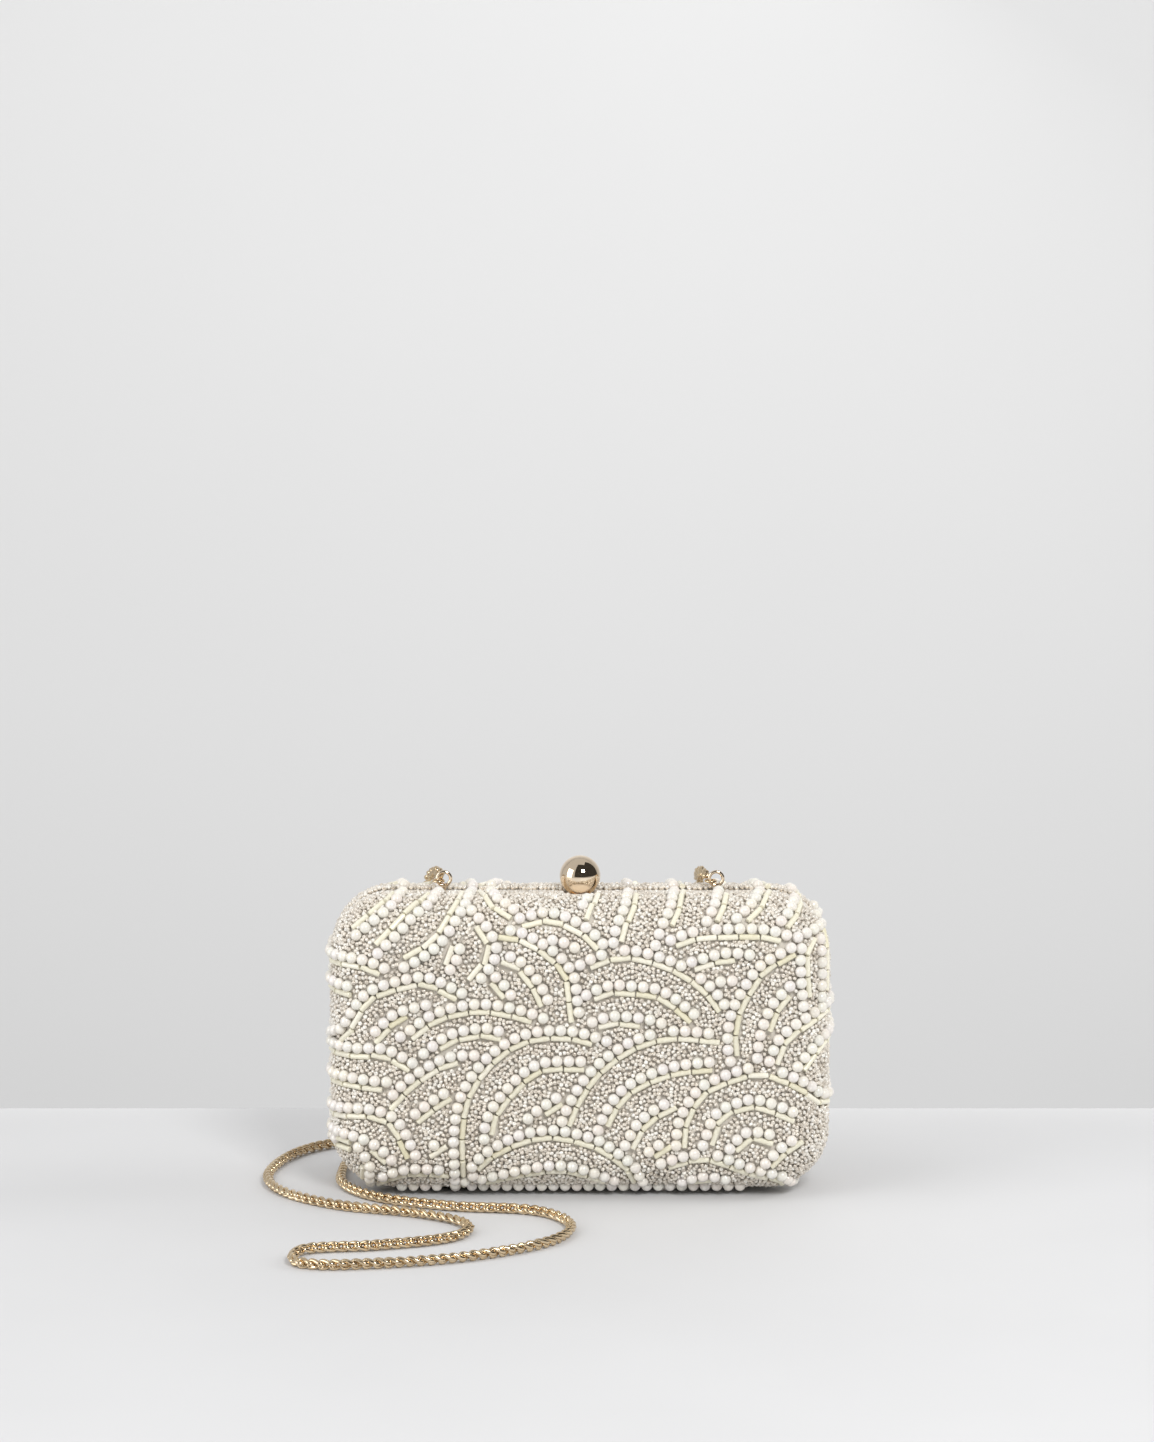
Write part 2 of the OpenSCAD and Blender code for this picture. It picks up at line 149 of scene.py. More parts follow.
# Middle lines of the pearl rows, read to the millimetre, as (across, up) on the bag as it looks
# from the front and 8 degrees above.
# A bugle row lies to the right of each, looking along it.
ROWS = [
    [(-62, 97), (-68, 91), (-77, 83)],
    [(-50, 97), (-55, 92), (-60, 86), (-68, 77)],
    [(-38, 97), (-41, 91), (-43, 87), (-47, 81), (-53, 76), (-59, 73)],
    [(-85, 76), (-77, 76), (-70, 75), (-63, 72)],
    [(-81, 52), (-77, 58), (-72, 64), (-66, 67), (-59, 69), (-53, 70), (-48, 69), (-38, 64)],
    [(-86, 67), (-76, 66)],
    [(-41, 84), (-40, 78), (-44, 71)],
    [(-37, 95), (-31, 88), (-28, 81), (-28, 77), (-30, 73), (-35, 67)],
    [(-27, 87), (-20, 86), (-13, 82), (-6, 76), (-2, 70), (-1, 63), (0, 55)],
    [(-27, 77), (-21, 76), (-15, 70), (-11, 63), (-10, 60)],
    [(-28, 70), (-25, 67), (-23, 64)],
    [(-20, 91), (-12, 93), (-6, 92), (0, 89), (4, 86), (8, 81)],
    [(-27, 98), (-24, 96), (-21, 93)],
    [(-13, 82), (-9, 83), (-3, 81), (0, 78)],
    [(0, 89), (0, 94), (2, 98)],
    [(11, 82), (12, 88), (15, 96)],
    [(25, 81), (27, 88), (30, 95)],
    [(42, 90), (45, 97)],
    [(52, 91), (58, 98)],
    [(67, 90), (70, 93)],
    [(30, 83), (37, 86), (45, 87), (61, 87), (72, 84)],
    [(37, 75), (48, 78), (59, 77)],
    [(50, 42), (49, 48), (50, 57), (53, 64), (59, 73), (65, 77), (72, 81)],
    [(0, 74), (6, 77), (14, 79), (22, 78), (33, 74), (43, 67), (50, 58)],
    [(43, 67), (49, 69), (54, 67)],
    [(2, 64), (9, 67), (17, 67), (28, 65), (40, 56)],
    [(4, 55), (11, 57), (22, 56), (29, 54)],
    [(75, 60), (74, 70), (74, 79)],
    [(82, 62), (82, 75), (81, 88)],
    [(59, 43), (60, 51), (64, 61), (70, 67)],
    [(63, 42), (66, 49), (72, 54), (83, 59)],
    [(-86, 46), (-76, 46), (-65, 46), (-55, 41)],
    [(-71, 49), (-66, 54), (-61, 58), (-50, 61)],
    [(-63, 48), (-57, 52), (-48, 58), (-34, 61), (-20, 59), (-9, 55)],
    [(-55, 42), (-49, 47), (-43, 51), (-32, 53), (-24, 51)],
    [(-42, 6), (-42, 19), (-39, 32), (-30, 44), (-18, 51), (-3, 52), (11, 48)],
    [(-84, 25), (-71, 26), (-61, 22), (-54, 9)],
    [(-85, 36), (-77, 36), (-63, 35)],
    [(-65, 28), (-57, 36), (-45, 43), (-34, 44)],
    [(-58, 22), (-49, 29), (-42, 33)],
    [(-52, 12), (-46, 16)],
    [(-83, 17), (-74, 16), (-67, 13), (-62, 8)],
    [(-80, 14), (-75, 13), (-71, 7)],
    [(-68, 2), (-61, 5), (-54, 6), (-42, 5), (-35, 3)],
    [(-60, 0), (0, 0), (57, 0)],
    [(-33, 2), (-22, 5), (-12, 7), (-4, 7), (3, 5), (12, 1)],
    [(-36, 7), (-31, 12), (-21, 17), (-9, 19), (5, 16), (12, 12), (18, 7)],
    [(-32, 16), (-31, 23), (-25, 32), (-14, 41), (3, 42)],
    [(-20, 20), (-15, 25), (-6, 31)],
    [(-6, 22), (-3, 29), (4, 39), (16, 48), (30, 52), (46, 51)],
    [(6, 19), (9, 26), (16, 34), (30, 40), (46, 42)],
    [(15, 14), (19, 21), (25, 26), (31, 29)],
    [(32, 14), (33, 22), (38, 31), (45, 36), (60, 40), (75, 35), (82, 30)],
    [(23, 12), (29, 16)],
    [(41, 14), (45, 24), (52, 28), (60, 29), (74, 24)],
    [(50, 13), (55, 18), (62, 18), (66, 16)],
    [(62, 8), (67, 13), (74, 17)],
    [(27, 8), (37, 11), (45, 11), (58, 6), (68, 3)],
    [(30, 0), (41, 3), (52, 1)],
    [(73, 40), (79, 46), (83, 49)],
]

# Heights on the case at which it is worked out how high a point looks
REAL_UP = [0, 4, 20, 51, 82, 98, 102]
ROWS_BASE = 155.7         # the rows' heights count from this far under the middle of the picture
SEEN_WIDER = 1.02         # the front face is nearer than the middle of the bag


# ---- Geometry ----

def unit(vectors):
    return vectors / np.maximum(np.linalg.norm(vectors, axis=-1, keepdims=True), 1e-12)


def reach_of(x, z):
    """Distance of drawn points from the case's inner box, where its edges begin to round."""
    return np.hypot(x - np.clip(x, -INNER_X, INNER_X), z - np.clip(z, MID_Z - INNER_Z, MID_Z + INNER_Z))


def on_case(x, z, depth=0.0):
    """Places of drawn points on the front half, depth below the bead tops.

    On the face the drawing is the front view; past the rounded edge it unrolls over the sides.
    """
    x, z = np.broadcast_arrays(np.asarray(x, float), np.asarray(z, float))
    inner = np.stack([np.clip(x, -INNER_X, INNER_X), np.clip(z, MID_Z - INNER_Z, MID_Z + INNER_Z)], -1)
    away = np.stack([x, z], -1) - inner
    reach = np.linalg.norm(away, axis=-1)
    outward = unit(away)
    bent = np.clip((reach - FLAT) / EDGE_R, 0, math.sin(ROLL_ANGLE))
    angle = np.arcsin(bent) + np.clip((reach - ROLL_FROM) / ROLL_RATE, 0, math.pi / 2 - ROLL_ANGLE)
    wall = WALL_RATE * np.maximum(reach - WALL_FROM, 0)
    radius = EDGE_R - depth
    across = np.where(reach < FLAT, reach, FLAT + radius * np.sin(angle))
    side = inner + outward * across[..., None]
    y = wall - (HALF_D - EDGE_R) - radius * np.cos(angle)
    return np.stack([side[..., 0], y, side[..., 1]], -1)


def curve_through(points, steps=24):
    """A smooth curve through the points, which may be in the plane or in space."""
    points = np.asarray(points, float)
    ends = np.vstack([2 * points[0] - points[1], points, 2 * points[-1] - points[-2]])
    t = (np.arange(steps) / steps)[:, None]
    spans = []
    for a, b, c, d in zip(ends, ends[1:], ends[2:], ends[3:]):
        spans.append(b + t / 2 * (c - a + t * (2 * a - 5 * b + 4 * c - d + t * (3 * (b - c) + d - a))))
    return np.vstack([*spans, points[-1:]])


def lengths_along(line):
    return np.concatenate([[0], np.cumsum(np.linalg.norm(np.diff(line, axis=0), axis=1))])


def at_lengths(values, lengths, wanted):
    return np.stack([np.interp(wanted, lengths, column) for column in values.T], -1)


def nearest(tree, point):
    return tree.find(point)[2]


def tree_of(points):
    tree = KDTree(len(points))
    for i, point in enumerate(points):
        tree.insert(point, i)
    tree.balance()
    return tree


# ---- Meshes ----

def add_mesh(name, points, corners, counts, paint, uv=None, smooth=True):
    """An object from points in millimetres, the faces' corners in one row, and corners per face."""
    mesh = bpy.data.meshes.new(name)
    mesh.vertices.add(len(points))
    mesh.vertices.foreach_set("co", (np.asarray(points, np.float32) * MM).ravel())
    mesh.loops.add(len(corners))
    mesh.loops.foreach_set("vertex_index", np.asarray(corners, np.int32))
    mesh.polygons.add(len(counts))
    starts = np.concatenate([[0], np.cumsum(counts)[:-1]])
    mesh.polygons.foreach_set("loop_start", starts.astype(np.int32))
    mesh.polygons.foreach_set("loop_total", np.asarray(counts, np.int32))
    mesh.polygons.foreach_set("use_smooth", np.full(len(counts), smooth))
    mesh.update(calc_edges=True)
    if uv is not None:
        layer = mesh.uv_layers.new(name="OFBake")
        layer.data.foreach_set("uv", np.asarray(uv, np.float32).ravel())
    mesh.materials.append(paint)
    obj = bpy.data.objects.new(name, mesh)
    bpy.context.scene.collection.objects.link(obj)
    return obj


def grid_faces(rows, columns, closed):
    """Corners of the quads between rows of points; closed joins the last column to the first."""
    faces = []
    for i in range(rows - 1):
        for k in range(columns if closed else columns - 1):
            a = i * columns + k
            b = i * columns + (k + 1) % columns
            faces.append([a, b, b + columns, a + columns])
    return faces


def turned_bead(profile, sides):
    """A bead turned about the local x axis: its points and faces."""
    turn = 2 * math.pi * np.arange(sides) / sides
    points = np.vstack([
        np.stack([np.full(sides, x), r * np.cos(turn), r * np.sin(turn)], -1) for x, r in profile
    ])
    faces = grid_faces(len(profile), sides, True)
    last = (len(profile) - 1) * sides
    faces.append(list(range(sides - 1, -1, -1)))
    faces.append(list(range(last, last + sides)))
    return points, faces


def bead_uv(points, faces):
    """A UV for each corner: along the bead, and round it from one side to the other."""
    corners = np.concatenate(faces)
    p = points[corners]
    along = (p[:, 0] - points[:, 0].min()) / np.ptp(points[:, 0])
    round_it = np.arctan2(p[:, 1], p[:, 2]) / (2 * math.pi) + 0.5
    return np.stack([along, round_it], -1)


def add_copies(name, bead, places, turns, paint, smooth=True):
    """One mesh with a copy of the bead at each place; turns are 3x3, one local axis a row."""
    points, faces = bead
    corners = np.concatenate(faces)
    counts = np.array([len(f) for f in faces])
    many = len(places)
    placed = points[None] @ turns + places[:, None]
    all_corners = (corners[None] + len(points) * np.arange(many)[:, None]).ravel()
    cells = math.ceil(math.sqrt(many))
    cell = np.stack([np.arange(many) % cells, np.arange(many) // cells], -1)
    uv = (cell[:, None] + 0.06 + 0.88 * bead_uv(points, faces)[None]) / cells
    return add_mesh(name, placed.reshape(-1, 3), all_corners, np.tile(counts, many), paint,
                    uv.reshape(-1, 2), smooth)


def random_turns(rng, many):
    """Random rotations, as 3x3 matrices."""
    a = unit(rng.normal(size=(many, 3)))
    b = unit(np.cross(a, rng.normal(size=(many, 3))))
    return np.stack([a, b, np.cross(a, b)], 1)


# ---- Materials ----

class Paint:
    """A material with short calls that add its nodes."""

    def __init__(self, name, color, **settings):
        self.material = bpy.data.materials.new(name)
        self.material.use_nodes = True
        self.tree = self.material.node_tree
        self.shader = self.tree.nodes["Principled BSDF"]
        self.shader.inputs["Base Color"].default_value = (*color, 1)
        for socket, value in settings.items():
            self.shader.inputs[socket.replace("_", " ")].default_value = value

    def add(self, kind, **values):
        node = self.tree.nodes.new("ShaderNode" + kind)
        for key, value in values.items():
            if key in node.inputs:
                node.inputs[key].default_value = value
            else:
                setattr(node, key, value)
        return node

    def join(self, output, target):
        self.tree.links.new(output, target)

    def noise(self, per_mm, detail=3.0, stretch=(1, 1, 1)):
        """Noise in object space, with this many features a millimetre."""
        place = self.add("TexCoord")
        turn = self.add("Mapping")
        turn.inputs["Scale"].default_value = [s / MM * per_mm for s in stretch]
        noise = self.add("TexNoise", Detail=detail)
        noise.inputs["Scale"].default_value = 1
        self.join(place.outputs["Object"], turn.inputs["Vector"])
        self.join(turn.outputs["Vector"], noise.inputs["Vector"])
        return noise.outputs["Fac"]

    def island(self):
        """A random value for each separate bead or link."""
        return self.add("NewGeometry").outputs["Random Per Island"]

    def spread(self, value, low, high, start=0.0, end=1.0):
        span = self.add("MapRange")
        span.inputs["From Min"].default_value = start
        span.inputs["From Max"].default_value = end
        span.inputs["To Min"].default_value = low
        span.inputs["To Max"].default_value = high
        self.join(value, span.inputs["Value"])
        return span.outputs["Result"]

    def ramp(self, value, stops):
        ramp = self.add("ValToRGB")
        band = ramp.color_ramp
        while len(band.elements) < len(stops):
            band.elements.new(0.5)
        for element, (place, color) in zip(band.elements, stops):
            element.position = place
            element.color = (*color, 1)
        self.join(value, ramp.inputs["Fac"])
        return ramp.outputs["Color"]

    def mixed(self, share, a, b, how="MIX"):
        """Colours a and b mixed; each is an output or a plain colour."""
        mix = self.add("Mix", data_type="RGBA", blend_type=how)
        for value, socket in ((share, mix.inputs[0]), (a, mix.inputs[6]), (b, mix.inputs[7])):
            if isinstance(value, bpy.types.NodeSocket):
                self.join(value, socket)
            elif isinstance(value, tuple):
                socket.default_value = (*value, 1)
            else:
                socket.default_value = value
        return mix.outputs[2]

    def paint(self, output, socket="Base Color"):
        self.join(output, self.shader.inputs[socket])

    def bump(self, height, depth_mm, strength=1.0):
        node = self.add("Bump")
        node.inputs["Strength"].default_value = strength
        node.inputs["Distance"].default_value = depth_mm * MM
        self.join(height, node.inputs["Height"])
        self.join(node.outputs["Normal"], self.shader.inputs["Normal"])


def pearl_paint():
    """Coated imitation pearl: white with faint pink, lavender and green, one tint a bead."""
    p = Paint("pearl", (0.80, 0.79, 0.76), Roughness=0.4, Coat_Weight=1.0, Coat_IOR=1.8,
              Coat_Roughness=0.06)
    tint = p.ramp(p.island(), [
        (0.0, (0.83, 0.77, 0.70)), (0.3, (0.82, 0.79, 0.71)), (0.5, (0.81, 0.77, 0.73)),
        (0.7, (0.80, 0.79, 0.71)), (1.0, (0.84, 0.79, 0.69)),
    ])
    cloud = p.ramp(p.noise(0.5), [(0.35, (0.93, 0.91, 0.92)), (0.65, (1, 1, 1))])
    p.paint(p.mixed(1.0, tint, cloud, "MULTIPLY"))
    p.bump(p.noise(2.5), 0.02)
    return p.material


def bugle_paint():
    """Satin glass tube, pale cream yellow with fine lines along it."""
    p = Paint("bugle", (0.80, 0.76, 0.60), Roughness=0.34, Coat_Weight=0.4, Coat_Roughness=0.2)
    tint = p.ramp(p.island(), [
        (0.0, (0.84, 0.81, 0.67)), (0.5, (0.80, 0.77, 0.63)), (0.8, (0.88, 0.85, 0.74)),
        (1.0, (0.77, 0.73, 0.54)),
    ])
    silk = p.ramp(p.noise(1.2, 5.0), [(0.3, (0.90, 0.88, 0.84)), (0.7, (1, 1, 1))])
    p.paint(p.mixed(1.0, tint, silk, "MULTIPLY"))
    p.bump(p.noise(3.0, 4.0), 0.04)
    return p.material


def seed_paint():
    """Silver-lined glass seed bead in champagne, from dark to bright, bead by bead."""
    p = Paint("seed_bead", (0.76, 0.70, 0.62), Metallic=0.2, Roughness=0.3, Coat_Weight=0.6,
              Coat_Roughness=0.1)
    tint = p.ramp(p.island(), [
        (0.0, (0.60, 0.54, 0.46)), (0.25, (0.74, 0.68, 0.60)), (0.5, (0.80, 0.74, 0.65)),
        (0.75, (0.77, 0.73, 0.66)), (1.0, (0.94, 0.91, 0.85)),
    ])
    p.paint(tint)
    p.paint(p.spread(p.island(), 0.2, 0.4), "Roughness")
    p.bump(p.noise(4.0), 0.03)
    return p.material


def metal_paint(name, color, dark, roughness, scratches, wear):
    """Plated metal: fine scratches, smudges in its gloss, and paler worn edges."""
    p = Paint(name, color, Metallic=1.0, Roughness=roughness)
    smudge = p.noise(0.12, 4.0)
    tone = p.ramp(smudge, [(0.3, dark), (0.6, color)])
    edge = p.spread(p.add("NewGeometry").outputs["Pointiness"], 0.0, wear, 0.51, 0.56)
    pale = tuple(min(1.0, c * 1.08 + 0.03) for c in color)
    p.paint(p.mixed(edge, tone, pale))
    p.paint(p.spread(p.noise(0.6, 5.0), roughness * 0.7, roughness * 1.5, 0.3, 0.7), "Roughness")
    p.bump(p.noise(1.0, 2.0, (0.15, 6, 6)), scratches)
    return p.material


def weave_paint(name, color, shade, threads_mm, roughness, sheen):
    """Woven cloth: threads across and up, a little uneven, with a sheen."""
    p = Paint(name, color, Roughness=roughness, Sheen_Weight=sheen, Sheen_Roughness=0.4)
    place = p.add("TexCoord")
    waves = []
    for axis in ("X", "Z"):
        wave = p.add("TexWave", wave_type="BANDS", bands_direction=axis)
        wave.inputs["Scale"].default_value = 2 * math.pi * threads_mm / MM / 20
        wave.inputs["Distortion"].default_value = 0.6
        p.join(place.outputs["Object"], wave.inputs["Vector"])
        waves.append(wave.outputs["Color"])
    threads = p.mixed(0.5, waves[0], waves[1])
    tone = p.ramp(p.noise(0.08, 4.0), [(0.3, shade), (0.65, color)])
    p.paint(p.mixed(0.25, tone, p.mixed(1.0, tone, threads, "MULTIPLY")))
    p.bump(threads, 0.08, 0.6)
    return p.material


def board_paint():
    """Grey moulded board, with a faint fibre."""
    p = Paint("shell_board", (0.62, 0.60, 0.57), Roughness=0.85)
    p.paint(p.ramp(p.noise(0.8, 6.0), [(0.3, (0.52, 0.50, 0.47)), (0.7, (0.68, 0.66, 0.62))]))
    p.bump(p.noise(1.5, 6.0), 0.08)
    return p.material


def table_paint():
    p = Paint("table", (0.62, 0.62, 0.625), Roughness=0.7, Specular_IOR_Level=0.15)
    p.paint(p.ramp(p.noise(0.01, 3.0), [(0.3, (0.605, 0.605, 0.61)), (0.7, (0.62, 0.62, 0.625))]))
    return p.material


def wall_paint():
    p = Paint("wall", (0.68, 0.68, 0.68), Roughness=0.9)
    p.paint(p.ramp(p.noise(0.003, 2.0), [(0.3, (0.675, 0.675, 0.675)), (0.7, (0.685, 0.685, 0.685))]))
    return p.material


PEARL = pearl_paint()
BUGLE = bugle_paint()
SEED_GLASS = seed_paint()
GOLD_FRAME = metal_paint("gold_frame", (0.88, 0.71, 0.50), (0.83, 0.65, 0.44), 0.2, 0.002, 0.2)
GOLD_MIRROR = metal_paint("gold_mirror", (0.92, 0.77, 0.59), (0.90, 0.74, 0.56), 0.05, 0.002, 0.0)
GOLD_CHAIN = metal_paint("gold_chain", (0.84, 0.68, 0.46), (0.70, 0.54, 0.35), 0.2, 0.008, 0.4)
STEEL = metal_paint("steel", (0.62, 0.61, 0.60), (0.50, 0.49, 0.48), 0.3, 0.01, 0.3)
GROUND = weave_paint("ground_cloth", (0.82, 0.77, 0.69), (0.76, 0.70, 0.62), 3, 0.8, 0.2)
SATIN = weave_paint("satin", (0.82, 0.74, 0.62), (0.78, 0.69, 0.57), 6, 0.36, 0.6)
BOARD = board_paint()


# ---- Camera ----

def make_camera():
    """The photograph's view: from the front, 1.3 m away and 8 degrees above, with a long lens."""
    aim = np.array([-1, 14, MID_Z + 103])     # the bag stands low in the picture
    data = bpy.data.cameras.new("camera")
    data.sensor_width = 36
    data.lens = 97.75
    camera = bpy.data.objects.new("camera", data)
    camera.location = (aim + VIEW_FAR * np.array([0, -math.cos(VIEW_PITCH), math.sin(VIEW_PITCH)])) * MM
    camera.rotation_euler = (math.pi / 2 - VIEW_PITCH, 0, 0)
    bpy.context.scene.collection.objects.link(camera)
    bpy.context.scene.camera = camera


# ---- Chain ----

def route_line(points, steps=8):
    """The chain's curve: it leaves each point along the line between its neighbours."""
    points = np.asarray(points, float)
    ahead = np.vstack([points[1:], points[-1:]])
    behind = np.vstack([points[:1], points[:-1]])
    way = unit(ahead - behind)
    t = (np.arange(steps) / steps)[:, None]
    line = []
    for i in range(len(points) - 1):
        span = np.linalg.norm(points[i + 1] - points[i])
        line.append((2 * t**3 - 3 * t**2 + 1) * points[i] + (t**3 - 2 * t**2 + t) * span * way[i]
                    + (3 * t**2 - 2 * t**3) * points[i + 1] + (t**3 - t**2) * span * way[i + 1])
    line = np.vstack([*line, points[-1:]])
    line[:, 2] = np.maximum(line[:, 2], CHAIN_LIE)
    return line


def curb_link():
    """One twisted oval link about the origin, with its length along x."""
    around = 22
    sides = 8
    long_r = (LINK_PITCH + 1.05 * LINK_WIRE) / 2
    wide_r = (LINK_W - LINK_WIRE) / 2
    t = 2 * math.pi * np.arange(around) / around
    middle = np.stack([long_r * np.cos(t), wide_r * np.sin(t), LINK_TWIST * np.sin(2 * t)], -1)
    along = unit(np.roll(middle, -1, 0) - np.roll(middle, 1, 0))
    outward = unit(middle * [wide_r / long_r, long_r / wide_r, 0])
    outward = unit(outward - (outward * along).sum(1, keepdims=True) * along)
    up = np.cross(along, outward)
    turn = 2 * math.pi * np.arange(sides) / sides
    ring = np.cos(turn)[None, :, None] * outward[:, None] + np.sin(turn)[None, :, None] * up[:, None]
    points = (middle[:, None] + LINK_WIRE / 2 * ring).reshape(-1, 3)
    faces = [[i * sides + k, ((i + 1) % around) * sides + k,
              ((i + 1) % around) * sides + (k + 1) % sides, i * sides + (k + 1) % sides]
             for i in range(around) for k in range(sides)]
    return points, faces


def make_chain():
    """The curb chain strap: links set along the route, each a little rolled."""
    rng = np.random.default_rng(SEED)
    line = route_line(CHAIN_ROUTE)
    lengths = lengths_along(line)
    many = round(lengths[-1] / LINK_PITCH)
    middles = (np.arange(many) + 0.5) * lengths[-1] / many
    places = at_lengths(line, lengths, middles)
    ahead = at_lengths(line, lengths, np.minimum(middles + 1, lengths[-1]))
    behind = at_lengths(line, lengths, np.maximum(middles - 1, 0))
    x = unit(ahead - behind)
    flat = np.where(places[:, 2:] < 20, [[0, 0, 1]], [[0, 1, 0]])
    y = unit(np.cross(flat, x))
    z = np.cross(x, y)
    slow = np.convolve(rng.normal(size=many + 8), np.ones(9) / 3, "valid")
    roll = np.radians(LINK_LEAN + 12 * slow + 4 * rng.normal(size=many))[:, None]
    turns = np.stack([x, y * np.cos(roll) + z * np.sin(roll), z * np.cos(roll) - y * np.sin(roll)], 1)
    chain = add_copies("chain_links", curb_link(), places, turns, GOLD_CHAIN)
    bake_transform(chain)
    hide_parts("chain_strap")


# ---- Beads ----

def seen_up(up):
    """How high points of the front's middle line look, to a tenth, from their heights on the case."""
    above = up - MID_Z
    past = np.maximum(np.abs(above) - (MID_Z - EDGE_R), 0)
    y = -(HALF_D - EDGE_R) - np.sqrt(np.maximum(EDGE_R**2 - past**2, 0))
    in_picture = y * math.sin(VIEW_PITCH) + above * math.cos(VIEW_PITCH) - VIEW_LOW
    far = VIEW_FAR + y * math.cos(VIEW_PITCH) - above * math.sin(VIEW_PITCH)
    return np.round(VIEW_FAR * in_picture / far + ROWS_BASE, 1)


SEEN_UP = seen_up(np.array(REAL_UP))


def drawn(row):
    """A row's points on the unrolled case, from how they look from the front."""
    row = np.asarray(row, float)
    return np.stack([row[:, 0] / SEEN_WIDER, np.interp(row[:, 1], SEEN_UP, REAL_UP)], -1)


def run_off(row):
    """The row, with each end that nears the edge of the face carried on over the side to the rim."""
    for _ in range(2):
        row = row[::-1]
        end = row[-1]
        way = unit(row[-1] - row[-2])
        inner = np.array([np.clip(end[0], -INNER_X, INNER_X),
                          np.clip(end[1], MID_Z - INNER_Z, MID_Z + INNER_Z)])
        outward = unit(end - inner)
        if reach_of(*end) > EDGE_R * 0.6 and way @ outward > 0.35:
            way = unit(way + outward)
            row = np.vstack([row, end + way * 4, end + way * 8, end + way * 12])
    return row


ROW_LINES = [curve_through(run_off(drawn(row))) for row in ROWS]


def clear_of_hardware(places, radius):
    """Which beads keep clear of the rims, and of the ball at both ends of its travel."""
    clear = places[:, 1] < -RIM_CLEAR - radius
    for middle in (BALL, BALL_PUSHED):
        for mirror in (1, -1):
            gap = np.linalg.norm(places * [1, mirror, 1] - middle, axis=1)
            clear &= gap > BALL_R + BALL_ROOM + radius
    return clear


def pearl_places():
    """Places of the pearls on the front half."""
    kept = np.zeros((0, 3))
    for line in ROW_LINES:
        surface = on_case(line[:, 0], line[:, 1], PEARL_R)
        lengths = lengths_along(surface)
        wanted = np.arange(0, lengths[-1], PEARL_PITCH)
        spots = at_lengths(line, lengths, wanted)
        places = on_case(spots[:, 0], spots[:, 1], PEARL_R)
        for place, clear in zip(places, clear_of_hardware(places, PEARL_R)):
            if clear and (not len(kept) or np.linalg.norm(kept - place, axis=1).min() > PEARL_GAP):
                kept = np.vstack([kept, place])
    return kept


def bugle_places(pearls):
    """Middles and ends of the bugles beside the pearl rows of the front half."""
    middles = []
    for line in ROW_LINES:
        way = unit(np.gradient(line, axis=0))
        beside = line + ROW_GAP * np.stack([way[:, 1], -way[:, 0]], -1)
        surface = on_case(beside[:, 0], beside[:, 1], CLOTH_IN - BUGLE_R)
        lengths = lengths_along(surface)
        many = int((lengths[-1] + 2) // BUGLE_PITCH)
        start = (lengths[-1] - many * BUGLE_PITCH) / 2
        for i in range(many):
            wanted = start + (i + 0.5) * BUGLE_PITCH + BUGLE_LEN / 2 * np.array([-1, 0, 1])
            middles.append(at_lengths(surface, lengths, wanted))
    near_pearls = tree_of(pearls)
    kept = []
    taken = np.zeros((0, 3))
    for ends in middles:
        inner = [ends[0] * (1 - s) + ends[2] * s for s in (0.12, 0.35, 0.65, 0.88)]
        if min(nearest(near_pearls, p) for p in inner) < PEARL_R + BUGLE_FROM_PEARL:
            continue
        if len(taken) and min(np.linalg.norm(taken - p, axis=1).min() for p in inner) < BUGLE_GAP:
            continue
        if clear_of_hardware(np.array([ends[0], ends[2]]), BUGLE_R).all():
            kept.append(ends)
            taken = np.vstack([taken, inner])
    return np.array(kept)


def scattered(points, gap):
    """Which of the points stay, taken in turn, so that no two are nearer than the gap."""
    cells = {}
    kept = []
    steps = [(a, b, c) for a in (-1, 0, 1) for b in (-1, 0, 1) for c in (-1, 0, 1)]
    keys = np.floor(points / gap).astype(int).tolist()
    places = points.tolist()
    for i, (x, y, z) in enumerate(keys):
        px, py, pz = places[i]
        crowded = False
        for a, b, c in steps:
            for qx, qy, qz in cells.get((x + a, y + b, z + c), ()):
                if (px - qx) ** 2 + (py - qy) ** 2 + (pz - qz) ** 2 < gap * gap:
                    crowded = True
                    break
            if crowded:
                break
        if not crowded:
            cells.setdefault((x, y, z), []).append((px, py, pz))
            kept.append(i)
    return np.array(kept)


def seed_places(rng, pearls, bugles):
    """Places of the seed beads, which fill what the pearls and bugles leave."""
    over = WALL_FROM + 3 - CORNER_R
    x = rng.uniform(-HALF_W - over, HALF_W + over, SEED_TRIES)
    z = rng.uniform(-over, HEIGHT + over, SEED_TRIES)
    inside = reach_of(x, z) < CORNER_R + over
    depth = CLOTH_IN - SEED_R + rng.uniform(-0.35, 0.15, inside.sum())
    places = on_case(x[inside], z[inside], depth)
    places = places[clear_of_hardware(places, SEED_R)]
    shares = np.linspace(0, 1, 5)[:, None]
    tubes = np.vstack([ends[0] * (1 - shares) + ends[2] * shares for ends in bugles])
    near_pearls = tree_of(pearls)
    near_bugles = tree_of(tubes)
    from_pearl = PEARL_R + SEED_FROM_OTHERS
    from_bugle = BUGLE_R + SEED_FROM_OTHERS
    free = [nearest(near_pearls, p) > from_pearl and nearest(near_bugles, p) > from_bugle for p in places]
    places = places[np.array(free)]
    return places[scattered(places, SEED_GAP)]


def whole_profile(half):
    """A bead's whole profile from its first half."""
    return half + [(-x, r) for x, r in reversed(half)]


